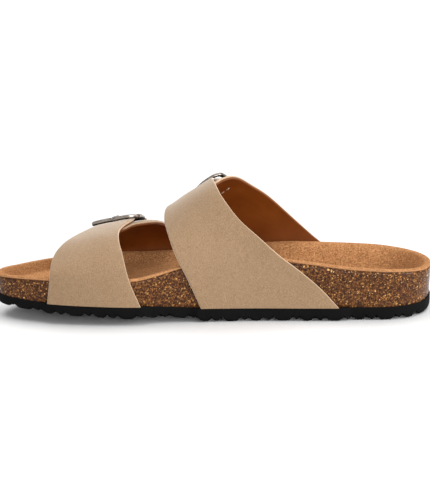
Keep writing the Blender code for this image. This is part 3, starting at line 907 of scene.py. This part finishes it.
def crease(strap, last, stations, girths):
    """Height of the soft troughs and ridges of one strap."""
    total = np.zeros_like(stations)
    for name, station, girth, turn, long, wide, high in CREASES[1:]:
        if name != strap:
            continue
        x = stations - station
        y = (girths - girth) * last.girth_length(station, girth)
        angle = math.radians(turn)
        lengthwise = x * math.cos(angle) + y * math.sin(angle)
        sideways = y * math.cos(angle) - x * math.sin(angle)
        total += high * np.exp(-(lengthwise / long) ** 2 - (sideways / wide) ** 2)
    return total


def slab(top, bottom):
    """Points and faces of a closed sheet between two grids."""
    rows, columns = top.shape[:2]
    points = np.concatenate([top.reshape(-1, 3), bottom.reshape(-1, 3)])
    count = rows * columns
    faces = quads(rows, columns)
    faces += [face[::-1] for face in quads(rows, columns, start=count)]
    around = border(rows, columns)
    for k, point in enumerate(around):
        after = around[(k + 1) % len(around)]
        faces.append([after, point, point + count, after + count])
    return points, faces


def build_strap(name, node, last, rows, raised, thick):
    """One strap: a nubuck layer with a pale cut edge over a smooth leather lining."""
    girths, toe, heel = rows
    shares = strap_shares()
    stations = toe[:, None] + (heel - toe)[:, None] * shares[None, :]
    across = np.broadcast_to(girths[:, None], stations.shape)
    lift = raised(stations, across)
    skin = last.skin(stations, across, lift)
    to_toe = np.linalg.norm(skin - skin[:, :1], axis=2)
    to_heel = np.linalg.norm(skin - skin[:, -1:], axis=2)
    run = np.linalg.norm(np.diff(skin[:, len(shares) // 2], axis=0), axis=1)
    to_tip = np.concatenate([np.cumsum(run[::-1])[::-1], [0.0]])
    inside = np.minimum(np.minimum(to_toe, to_heel), to_tip[:, None])
    wall = thick(stations, across)
    soft = crease(name, last, stations, across) * ease(inside / CREASE_FADE)
    drop = rounding(inside, EDGE_ROUND) * wall / STRAP_THICK
    top = last.skin(stations, across, lift + wall + soft - drop)
    bottom = last.skin(stations, across, lift + wall * LINING_SHARE)
    points, faces = slab(top, bottom)
    mask = 1 - ease((inside - RAW_EDGE) / RAW_EDGE_FADE + 1)
    outer = add_piece(name + "_nubuck", points, faces, "beige_nubuck", "nubuck", node,
                      edge=np.concatenate([mask, np.maximum(mask, inside < RAW_EDGE)]))
    wide = np.linalg.norm(skin[:, -1] - skin[:, 0], axis=1)
    held = np.minimum(LINING_INSET / wide, INSET_SHARE_MOST)[:, None]
    shares = held + (1 - 2 * held) * shares[None, :]
    stations = toe[:, None] + (heel - toe)[:, None] * shares
    lift = raised(stations, across)
    top = last.skin(stations, across, lift + thick(stations, across) * LINING_SHARE - SEAM_FIT)
    bottom = last.skin(stations, across, lift + rounding(inside, LINING_ROUND))
    points, faces = slab(top, bottom)
    lining = add_piece(name + "_lining", points, faces, "brown_lining", "nubuck",
                       edge=np.concatenate([np.ones_like(mask), mask]))
    return outer, lining


def tube(centres, sideways, upward, wide, thick, sides, power, closed):
    """Points and faces of a rounded bar swept along a row of points."""
    turn = 2 * math.pi * (np.arange(sides) + 0.5) / sides
    x = np.sign(np.cos(turn)) * np.abs(np.cos(turn)) ** (2 / power)
    y = np.sign(np.sin(turn)) * np.abs(np.sin(turn)) ** (2 / power)
    offset = sideways[:, None] * (x * wide / 2)[None, :, None]
    offset = offset + upward[:, None] * (y * thick / 2)[None, :, None]
    points = centres[:, None] + offset
    rows = len(centres)
    if closed:
        faces = quads(rows + 1, sides, closed=True)
        faces = [[corner % (rows * sides) for corner in face] for face in faces]
    else:
        faces = quads(rows, sides, closed=True)
        faces.append(list(range(sides))[::-1])
        faces.append(list(range((rows - 1) * sides, rows * sides)))
    return points.reshape(-1, 3), faces


def ring_path():
    """Middle line of a buckle ring: along and across the strap, with the outward direction."""
    path = []
    reach_along = RING_ALONG / 2 - RING_CORNER
    reach_across = RING_ACROSS / 2 - RING_CORNER
    for sign_along, sign_across, first in ((1, 1, 0), (-1, 1, 90), (-1, -1, 180), (1, -1, 270)):
        for k in range(CORNER_STEPS + 1):
            turn = math.radians(first + 90 * k / CORNER_STEPS)
            out = (math.cos(turn), math.sin(turn))
            path.append((sign_along * reach_along + RING_CORNER * out[0],
                         sign_across * reach_across + RING_CORNER * out[1], *out))
        for k in range(1, SIDE_POINTS):
            t = 1 - 2 * k / SIDE_POINTS
            if sign_along == sign_across:
                path.append((sign_along * reach_along * t, sign_across * RING_ACROSS / 2, 0.0, sign_across))
            else:
                path.append((sign_along * RING_ALONG / 2, sign_across * reach_across * t, sign_along, 0.0))
    return np.array(path, float).T


def build_ring(seat):
    """Buckle ring over the tongue on one bar and under it on the other, notched for the prong's tip."""
    along, across, out_along, out_across = ring_path()
    notch = RING_NOTCH_DEEP * np.exp(-(across / RING_NOTCH_WIDE) ** 4) * (along < 0)
    deeper = (RING_GAP + seat.lift - BAR_REST) * ease(-2 * along / RING_ALONG)
    lower = (notch + deeper) / 2
    height = seat.ring_height(along) - lower
    centres = seat.point(along, across, height)
    outer = seat.point(along + out_along, across + out_across, seat.ring_height(along + out_along) - lower)
    above = seat.point(along, across, height + 1.0)
    thin = (1 + (deeper - notch) / BAR_THICK)[:, None]
    points, faces = tube(centres, unit(outer - centres), unit(above - centres) * thin,
                         BAR_WIDE, BAR_THICK, RING_SIDES, BAR_POWER, True)
    node = seat.name + "_buckle_frame"
    return add_piece(seat.name + "_ring", points, faces, "dark_metal", "metal", node)


def build_prong(seat):
    """Prong from the lateral bar up through the tongue and on to the medial bar, with a blunt tip."""
    places = np.linspace(0, len(PRONG_PATH) - 2, PRONG_POINTS)
    along = value(PRONG_PATH, "along", places, flat=False)
    height = value(PRONG_PATH, "height", places, flat=False)
    height = height + seat.lift * np.maximum(0.0, -along) / (RING_ALONG / 2)
    centres = seat.point(along, np.zeros_like(along), height)
    ahead = np.gradient(centres, axis=0)
    side = unit(seat.point(along, np.ones_like(along), height) - centres)
    up = unit(np.cross(ahead, side))
    ends = np.sqrt(np.clip(np.minimum(places, places[-1] - places) / PRONG_END, PRONG_END_LEAST, 1))
    flat = PRONG_TIP_THICK / PRONG_THICK
    thin = 1 + (flat - 1) * ease((places - PRONG_FLAT[0]) / (PRONG_FLAT[1] - PRONG_FLAT[0]))
    points, faces = tube(centres, side * ends[:, None], up * (ends * thin)[:, None],
                         PRONG_THICK, PRONG_THICK, PRONG_SIDES, PRONG_POWER, False)
    node = seat.name + "_buckle_prong"
    return add_piece(seat.name + "_prong", points, faces, "dark_metal", "metal", node)


def cut_holes(pieces, seat):
    """Holes along the tongue: the one that the prong passes through and the spare ones."""
    cutters = []
    holes = [(HOLE_PLACE, HOLE_LONG, HOLE_WIDE)]
    holes += [(place, SPARE_HOLE_WIDE, SPARE_HOLE_WIDE) for place in SPARE_HOLES]
    for place, long, wide in holes:
        centres = seat.point(np.full(2, place), np.zeros(2), np.array([HOLE_BOTTOM, HOLE_TOP]))
        side = unit(seat.point(place, 1.0, 0.0) - seat.point(place, 0.0, 0.0))
        along = unit(seat.point(place + 1.0, 0.0, 0.0) - seat.point(place, 0.0, 0.0))
        points, faces = tube(centres, np.array([along] * 2), np.array([side] * 2), long, wide,
                             HOLE_SIDES, 2.0, False)
        mesh = bpy.data.meshes.new("hole")
        mesh.from_pydata(placed(points).tolist(), [], faces)
        cutter = bpy.data.objects.new("hole", mesh)
        bpy.context.scene.collection.objects.link(cutter)
        face_out(cutter)
        cutters.append(cutter)
    for piece in pieces:
        for cutter in cutters:
            hole = piece.modifiers.new("hole", "BOOLEAN")
            hole.operation = "DIFFERENCE"
            hole.solver = "EXACT"
            hole.object = cutter
        bpy.context.view_layer.update()
        cut = piece.evaluated_get(bpy.context.evaluated_depsgraph_get())
        mesh = bpy.data.meshes.new_from_object(cut)
        piece.modifiers.clear()
        piece.data = mesh
        mesh.set_sharp_from_angle(angle=math.radians(HOLE_SHARP))
    for cutter in cutters:
        bpy.data.objects.remove(cutter, do_unlink=True)


def build_thread(last):
    """Ends of the thread that holds the rear buckle, on the lining of the lateral strap."""
    points = []
    faces = []
    for first, second in THREAD_ENDS:
        t = np.linspace(0, 1, THREAD_POINTS)
        station = first[0] + (second[0] - first[0]) * t
        girth = first[1] + (second[1] - first[1]) * t
        sunk = THREAD_SUNK + THREAD_DIP * (2 * t - 1) ** 4
        centres = last.skin(station, girth, sunk)
        up = unit(last.skin(station, girth, sunk + 1) - centres)
        side = unit(np.cross(np.gradient(centres, axis=0), up))
        ends = np.sqrt(np.clip(1 - np.abs(2 * t - 1) ** 3, THREAD_END_LEAST, 1))
        bar, sides = tube(centres, side * ends[:, None], up * ends[:, None],
                          THREAD_THICK, THREAD_THICK * THREAD_FLAT, THREAD_SIDES, 2.0, False)
        faces += [[corner + len(points) * len(bar) for corner in face] for face in sides]
        points.append(bar)
    return add_piece("buckle_thread", np.concatenate(points), faces, "pale_thread", "nubuck")


def flat_lift(station, girth):
    """A strap that lies on the last has no lift."""
    return np.zeros_like(station)


def full_thick(station, girth):
    """A strap of one thickness."""
    return np.full_like(station, STRAP_THICK)


def build_upper():
    """Both straps with their buckles."""
    for name, girth, station, slant, lift, ridge, medial, lateral in BUCKLES:
        last = Last(ridge)
        seat = Seat(name, girth, station, slant, lift, last)
        start = seat.girth_at(TONGUE_START)
        tail = seat.girth_at(TAIL_LENGTH - TAIL_ROUND)
        tip = seat.girth_at(TAIL_LENGTH) - tail
        girths = np.concatenate([
            np.linspace(-1.0, start, FLANK_ROWS)[:-1],
            np.linspace(start, tail, TONGUE_ROWS),
        ])
        rows = strap_rows(medial, girths, tip)
        tongue = build_strap(name + "_medial", name + "_strap_medial", last, rows, seat.raised, seat.thick)
        end = float(column(lateral, "girth")[0])
        girths = np.linspace(1.0, end + LATERAL_ROUND_END, LATERAL_ROWS)
        rows = strap_rows(lateral, girths, -LATERAL_ROUND_END)
        build_strap(name + "_lateral", name + "_strap_lateral", last, rows, flat_lift, full_thick)
        build_ring(seat)
        build_prong(seat)
        cut_holes(tongue, seat)
        if name == "rear":
            build_thread(last)


class Nodes:
    """Short way to place and join the nodes of one tree."""

    def __init__(self, tree):
        self.tree = tree

    def link(self, given, socket):
        """Joins an output to an input."""
        self.tree.links.new(given, socket)

    def add(self, kind, inputs=None, **settings):
        """A node with its settings, and a value or a link on each named input."""
        node = self.tree.nodes.new(kind)
        for name, setting in settings.items():
            setattr(node, name, setting)
        for name, given in (inputs or {}).items():
            if isinstance(given, bpy.types.NodeSocket):
                self.link(given, node.inputs[name])
            else:
                node.inputs[name].default_value = given
        return node

    def place(self):
        """Places on the object itself."""
        return self.add("ShaderNodeTexCoord").outputs["Object"]

    def noise(self, place, scale, detail, **more):
        """Cloudy noise."""
        inputs = {"Vector": place, "Scale": scale, "Detail": detail, **more}
        return self.add("ShaderNodeTexNoise", inputs).outputs

    def cells(self, place, scale, **settings):
        """Cells around scattered points."""
        return self.add("ShaderNodeTexVoronoi", {"Vector": place, "Scale": scale}, **settings).outputs

    def mark(self, name):
        """A named value of the mesh's points."""
        return self.add("ShaderNodeAttribute", attribute_name=name).outputs["Fac"]

    def math(self, operation, first, second, clamp=False):
        """An operation on two numbers."""
        inputs = {0: first, 1: second}
        return self.add("ShaderNodeMath", inputs, operation=operation, use_clamp=clamp).outputs[0]

    def vector(self, operation, first, second):
        """An operation on two vectors."""
        return self.add("ShaderNodeVectorMath", {0: first, 1: second}, operation=operation).outputs[0]

    def mix(self, factor, first, second):
        """A colour between two."""
        return self.add("ShaderNodeMix", {0: factor, 6: first, 7: second}, data_type="RGBA").outputs[2]

    def span(self, given, low, high, to_low=0.0, to_high=1.0):
        """A number stretched from one span to another and held there."""
        limits = {0: given, 1: low, 2: high, 3: to_low, 4: to_high}
        return self.add("ShaderNodeMapRange", limits).outputs[0]

    def between(self, share, low, high):
        """A number between two."""
        return self.span(share, 0.0, 1.0, low, high)


def new_group(name, inputs, outputs):
    """An empty node group with named inputs and outputs."""
    tree = bpy.data.node_groups.new(name, "ShaderNodeTree")
    for socket, default in inputs.items():
        kind = "NodeSocketVector" if isinstance(default, tuple) else "NodeSocketFloat"
        made = tree.interface.new_socket(name=socket, in_out="INPUT", socket_type=kind)
        made.default_value = default
    for socket in outputs:
        tree.interface.new_socket(name=socket, in_out="OUTPUT", socket_type="NodeSocketFloat")
    nodes = Nodes(tree)
    return nodes, nodes.add("NodeGroupInput").outputs, nodes.add("NodeGroupOutput").inputs


def group_nap():
    """Short fibres of brushed leather: height for the bump and a tone between light and dark."""
    inputs = {"Fibre": 2500.0, "Brush": (1.0, 1.0, 1.0)}
    nodes, given, out = new_group("nap", inputs, ("Height", "Tone"))
    brushed = nodes.vector("MULTIPLY", nodes.place(), given["Brush"])
    fine = nodes.noise(brushed, given["Fibre"], 3.0, Roughness=0.65)["Fac"]
    wider = nodes.math("MULTIPLY", given["Fibre"], 0.22)
    coarse = nodes.noise(brushed, wider, 2.0, Roughness=0.55)["Fac"]
    both = nodes.math("ADD", nodes.math("MULTIPLY", fine, 0.85), nodes.math("MULTIPLY", coarse, 0.15))
    nodes.link(both, out["Height"])
    nodes.link(nodes.span(both, 0.36, 0.64), out["Tone"])


def group_patches():
    """Wide soft patches of tone, as handling and light leave them on leather, cork and foam."""
    nodes, given, out = new_group("patches", {"Size": 40.0}, ("Mask",))
    noise = nodes.noise(nodes.place(), given["Size"], 2.5, Roughness=0.5, Distortion=0.4)["Fac"]
    nodes.link(nodes.span(noise, 0.34, 0.66), out["Mask"])


def group_pores():
    """Fine pits of smooth leather and foam."""
    nodes, given, out = new_group("pores", {"Size": 1800.0}, ("Height",))
    place = nodes.place()
    pits = nodes.cells(place, given["Size"])["Distance"]
    swell = nodes.noise(place, nodes.math("MULTIPLY", given["Size"], 0.35), 2.0)["Fac"]
    nodes.link(nodes.math("ADD", nodes.math("MULTIPLY", pits, 0.6), swell), out["Height"])


def group_raw_edge():
    """Mask of a cut edge, a little ragged, from the edge values of the mesh."""
    nodes, given, out = new_group("raw_edge", {"Ragged": 0.25}, ("Mask",))
    noise = nodes.noise(nodes.place(), 900.0, 2.0)["Fac"]
    loss = nodes.math("MULTIPLY", noise, given["Ragged"])
    nodes.link(nodes.math("SUBTRACT", nodes.mark("edge"), loss, clamp=True), out["Mask"])


def new_material(name, **sockets):
    """A material with a principled shader whose plain values are set on its own sockets."""
    material = bpy.data.materials.new(name)
    material.use_nodes = True
    shader = material.node_tree.nodes["Principled BSDF"]
    for socket, given in sockets.items():
        shader.inputs[socket.replace("_", " ")].default_value = given
    return Nodes(material.node_tree), shader


def use_group(nodes, name, **inputs):
    """A node group placed in a material."""
    made = nodes.add("ShaderNodeGroup", node_tree=bpy.data.node_groups[name])
    for socket, given in inputs.items():
        made.inputs[socket].default_value = given
    return made.outputs


def join(nodes, shader, colour, roughness=None, height=None, strength=0.3, distance=0.0003):
    """Colour, roughness and bump height to the shader."""
    nodes.link(colour, shader.inputs["Base Color"])
    if roughness is not None:
        nodes.link(roughness, shader.inputs["Roughness"])
    if height is not None:
        bump = nodes.add("ShaderNodeBump", {"Height": height, "Strength": strength, "Distance": distance})
        nodes.link(bump.outputs["Normal"], shader.inputs["Normal"])


def nubuck():
    """Beige nubuck with a fine nap and a pale cut edge."""
    nodes, shader = new_material("beige_nubuck", Specular_IOR_Level=0.15, Sheen_Weight=0.9,
                                 Sheen_Roughness=0.4, Sheen_Tint=srgb(240, 232, 222))
    nap = use_group(nodes, "nap", Fibre=1700.0, Brush=(1.0, 1.0, 0.8))
    patches = use_group(nodes, "patches", Size=38.0)
    raw = use_group(nodes, "raw_edge", Ragged=0.3)
    tone = nodes.mix(patches["Mask"], srgb(137, 111, 84), srgb(143, 117, 90))
    fibres = nodes.mix(nap["Tone"], srgb(115, 91, 66), srgb(164, 137, 108))
    body = nodes.mix(0.5, tone, fibres)
    colour = nodes.mix(raw["Mask"], body, srgb(188, 160, 131))
    roughness = nodes.between(nap["Tone"], 0.82, 0.95)
    join(nodes, shader, colour, roughness, nap["Height"], 0.35, 0.0003)


def lining():
    """Smooth brown lining leather with a fine grain and a soft gloss."""
    nodes, shader = new_material("brown_lining", Specular_IOR_Level=0.2)
    pores = use_group(nodes, "pores", Size=1500.0)
    patches = use_group(nodes, "patches", Size=55.0)
    raw = use_group(nodes, "raw_edge", Ragged=0.3)
    body = nodes.mix(patches["Mask"], srgb(102, 49, 9), srgb(116, 59, 12))
    colour = nodes.mix(raw["Mask"], body, srgb(112, 64, 30))
    roughness = nodes.between(patches["Mask"], 0.42, 0.56)
    join(nodes, shader, colour, roughness, pores["Height"], 0.25, 0.0002)


def suede():
    """Tan suede of the footbed, darker where painted shade lies on its inner wall and floor, and pale along
    its cut edge.
    """
    nodes, shader = new_material("tan_suede", Specular_IOR_Level=0.1, Sheen_Weight=0.22,
                                 Sheen_Roughness=0.55, Sheen_Tint=srgb(232, 166, 108))
    nap = use_group(nodes, "nap", Fibre=1250.0, Brush=(0.8, 1.0, 1.0))
    patches = use_group(nodes, "patches", Size=30.0)
    raw = use_group(nodes, "raw_edge", Ragged=0.35)
    tone = nodes.mix(patches["Mask"], srgb(150, 102, 63), srgb(165, 115, 74))
    fibres = nodes.mix(nap["Tone"], srgb(96, 56, 25), srgb(207, 154, 106))
    unshaded = nodes.mix(0.7, tone, fibres)
    # A darker copy of the suede paints shade on the footbed's inner wall and floor, mixed in by a mark of
    # the mesh
    flat = nodes.mix(nap["Tone"], srgb(70, 35, 12), srgb(136, 86, 46))
    body = nodes.mix(nodes.mark("laid"), unshaded, flat)
    colour = nodes.mix(raw["Mask"], body, srgb(178, 128, 88))
    roughness = nodes.between(nap["Tone"], 0.88, 1.0)
    join(nodes, shader, colour, roughness, nap["Height"], 0.5, 0.0004)


def cork():
    """Cork granules of several browns with pale flecks, under a thin sealing coat."""
    nodes, shader = new_material("sealed_cork", Coat_Roughness=0.16, Coat_IOR=1.25, Specular_IOR_Level=0.1)
    place = nodes.place()
    warp = nodes.noise(place, 420.0, 1.0)["Color"]
    bent = nodes.vector("ADD", place, nodes.vector("MULTIPLY", warp, (CORK_WARP, CORK_WARP, CORK_WARP)))
    grains = nodes.cells(bent, CORK_GRAIN)
    crumbs = nodes.cells(bent, CORK_CRUMB)
    ramps = []
    for cells, stops in ((grains, GRAIN_BROWNS), (crumbs, CRUMB_BROWNS)):
        ramp = nodes.add("ShaderNodeValToRGB", {"Fac": cells["Color"]})
        ramp.color_ramp.interpolation = "CONSTANT"
        while len(ramp.color_ramp.elements) < len(stops):
            ramp.color_ramp.elements.new(0.5)
        for stop, (at, colour) in zip(ramp.color_ramp.elements, stops):
            stop.position = at
            stop.color = srgb(*colour)
        ramps.append(ramp.outputs["Color"])
    pick = nodes.noise(place, 800.0, 1.0)["Fac"]
    colour = nodes.mix(nodes.span(pick, 0.47, 0.53), ramps[0], ramps[1])
    rift = nodes.cells(bent, CORK_GRAIN, feature="DISTANCE_TO_EDGE")["Distance"]
    dark = nodes.span(rift, 0.0, 0.12, 0.65, 0.0)
    colour = nodes.mix(dark, colour, srgb(38, 18, 8))
    patches = use_group(nodes, "patches", Size=60.0)
    coat = nodes.between(patches["Mask"], 0.4, 0.6)
    nodes.link(coat, shader.inputs["Coat Weight"])
    roughness = nodes.between(grains["Distance"], 0.5, 0.7)
    join(nodes, shader, colour, roughness, rift, 0.3, 0.0002)


def foam():
    """Black foam rubber with a fine pebbled skin."""
    nodes, shader = new_material("black_foam", Specular_IOR_Level=0.06)
    pores = use_group(nodes, "pores", Size=1300.0)
    patches = use_group(nodes, "patches", Size=70.0)
    colour = nodes.mix(patches["Mask"], srgb(9, 9, 9), srgb(16, 15, 15))
    roughness = nodes.between(patches["Mask"], 0.68, 0.82)
    join(nodes, shader, colour, roughness, pores["Height"], 0.45, 0.0003)


def metal():
    """Gunmetal of the buckles, with a painted highlight on its flanks, a darker top face and painted shade
    underneath.
    """
    nodes, shader = new_material("dark_metal", Metallic=1.0)
    patches = use_group(nodes, "patches", Size=260.0)
    facing = nodes.add("ShaderNodeNewGeometry").outputs["Normal"]
    upward = nodes.add("ShaderNodeSeparateXYZ", {0: facing}).outputs["Z"]
    # Colour by the way the surface faces: a painted highlight on the flanks, a darker top face, and painted
    # shade near black on the underside
    highlit_flank = nodes.mix(patches["Mask"], srgb(160, 151, 142), srgb(180, 171, 162))
    top = nodes.mix(patches["Mask"], srgb(96, 89, 83), srgb(114, 106, 100))
    colour = nodes.mix(nodes.span(upward, 0.5, 0.85), highlit_flank, top)
    colour = nodes.mix(nodes.span(upward, -0.3, 0.15), srgb(10, 8, 7), colour)
    roughness = nodes.between(patches["Mask"], 0.24, 0.36)
    join(nodes, shader, colour, roughness)


def thread():
    """Pale waxed thread."""
    nodes, shader = new_material("pale_thread", Specular_IOR_Level=0.4)
    pores = use_group(nodes, "pores", Size=2600.0)
    colour = nodes.mix(pores["Height"], srgb(150, 134, 118), srgb(186, 170, 152))
    join(nodes, shader, colour, None, pores["Height"], 0.3, 0.0002)


def build_stage():
    """Pale floor, soft light from above and the camera."""
    grey = (FLOOR_GREY, FLOOR_GREY, FLOOR_GREY, 1.0)
    new_material("pale_floor", Base_Color=grey, Roughness=0.9, Specular_IOR_Level=0.1)
    corners = [(x * FLOOR_HALF, y * FLOOR_HALF, 0.0) for x, y in ((-1, -1), (1, -1), (1, 1), (-1, 1))]
    mesh = bpy.data.meshes.new("floor")
    mesh.from_pydata(corners, [], [(0, 1, 2, 3)])
    mesh.materials.append(bpy.data.materials["pale_floor"])
    floor = bpy.data.objects.new("floor", mesh)
    floor.location.z = -FLOOR_DROP
    bpy.context.scene.collection.objects.link(floor)
    world = bpy.data.worlds.new("studio")
    world.use_nodes = True
    background = world.node_tree.nodes["Background"]
    background.inputs["Color"].default_value = (1.0, 1.0, 1.0, 1.0)
    background.inputs["Strength"].default_value = LIGHT_ROUND
    bpy.context.scene.world = world
    for name, place, turn, wide, deep, power in LIGHTS:
        lamp = bpy.data.lights.new(name, "AREA")
        lamp.shape = "RECTANGLE"
        lamp.size = wide
        lamp.size_y = deep
        lamp.energy = power
        light = bpy.data.objects.new(name, lamp)
        light.location = place
        light.rotation_euler = [math.radians(angle) for angle in turn]
        bpy.context.scene.collection.objects.link(light)
    tilt = math.radians(VIEW_ELEVATION)
    lens = bpy.data.cameras.new("camera")
    lens.sensor_width = SENSOR
    lens.lens = SENSOR * VIEW_DISTANCE / VIEW_HEIGHT
    camera = bpy.data.objects.new("camera", lens)
    camera.location = (
        VIEW_TARGET[0],
        VIEW_TARGET[1] - VIEW_DISTANCE * math.cos(tilt),
        VIEW_TARGET[2] + VIEW_DISTANCE * math.sin(tilt),
    )
    camera.rotation_euler = (math.pi / 2 - tilt, 0.0, 0.0)
    bpy.context.scene.collection.objects.link(camera)
    bpy.context.scene.camera = camera
    bpy.context.scene.view_settings.view_transform = "Standard"


for build in (
    group_nap, group_patches, group_pores, group_raw_edge,
    nubuck, lining, suede, cork, foam, metal, thread,
    build_stage, build_outsole, build_cork, build_footbed_lining, build_upper,
):
    build()
